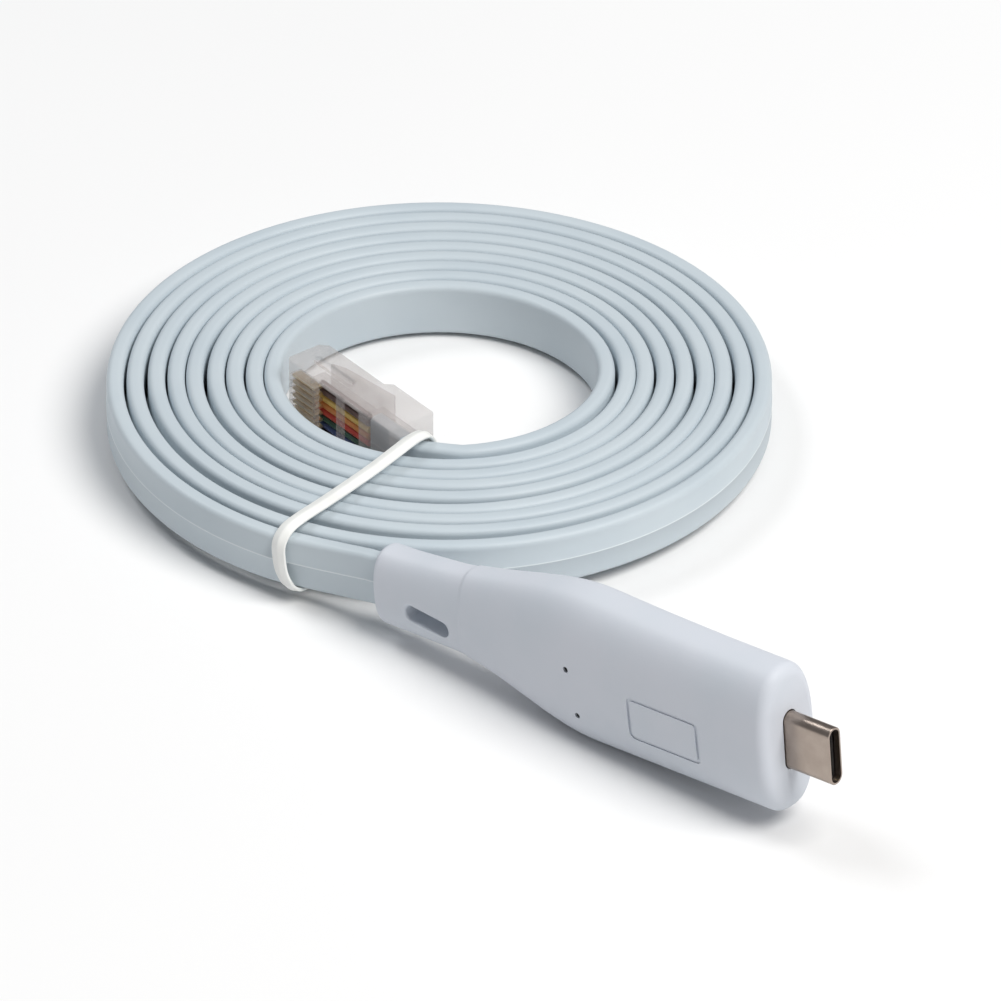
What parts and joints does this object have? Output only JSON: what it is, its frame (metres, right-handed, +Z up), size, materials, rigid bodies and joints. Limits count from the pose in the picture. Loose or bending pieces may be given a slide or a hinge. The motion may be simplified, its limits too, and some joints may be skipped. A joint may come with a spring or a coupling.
{
  "type": "console cable, modular plug to reversible serial plug",
  "caption": "Pale blue flat console cable coiled on its edge, a clear modular plug on one end and a moulded housing with a small reversible plug on the other.",
  "frame": {"origin": "centre of the box of the moulded housing and its metal plug, on the surface they lie on", "axes": "+X along the housing from its cable neck to its metal plug, +Y across its narrow side towards the coil, +Z up"},
  "size_m": [0.1452, 0.0895, 0.0231],
  "materials": {
    "cover_plastic": "satin moulded, pale blue",
    "cord_jacket": "satin soft vinyl, pale blue",
    "clear_plastic": "clear polycarbonate",
    "gold_contact": "gold plated",
    "nickel_shell": "nickel plated, drawn steel",
    "black_plastic": "matt black",
    "tie_plastic": "matt white",
    "wire_brown_grey": "insulated wire",
    "wire_brown": "insulated wire",
    "wire_yellow": "insulated wire",
    "wire_orange": "insulated wire",
    "wire_red": "insulated wire",
    "wire_green": "insulated wire",
    "wire_blue": "insulated wire",
    "wire_black": "insulated wire"
  },
  "bodies": {
    "root": {"usb_housing": "cover_plastic", "usb_c_shell": "nickel_shell", "usb_c_insulator": "black_plastic", "cable_coil": "cord_jacket", "cable_tail": "cord_jacket", "cable_start": "cord_jacket", "rj45_plug_body": "clear_plastic", "coil_tie": "tie_plastic", "rj45_contact_1": "gold_contact", "rj45_contact_2": "gold_contact", "rj45_contact_3": "gold_contact", "rj45_contact_4": "gold_contact", "rj45_contact_5": "gold_contact", "rj45_contact_6": "gold_contact", "rj45_contact_7": "gold_contact", "rj45_contact_8": "gold_contact", "wire_1": "wire_brown_grey", "wire_2": "wire_brown", "wire_3": "wire_yellow", "wire_4": "wire_orange", "wire_5": "wire_red", "wire_6": "wire_green", "wire_7": "wire_blue", "wire_8": "wire_black"}
  },
  "joints": []
}
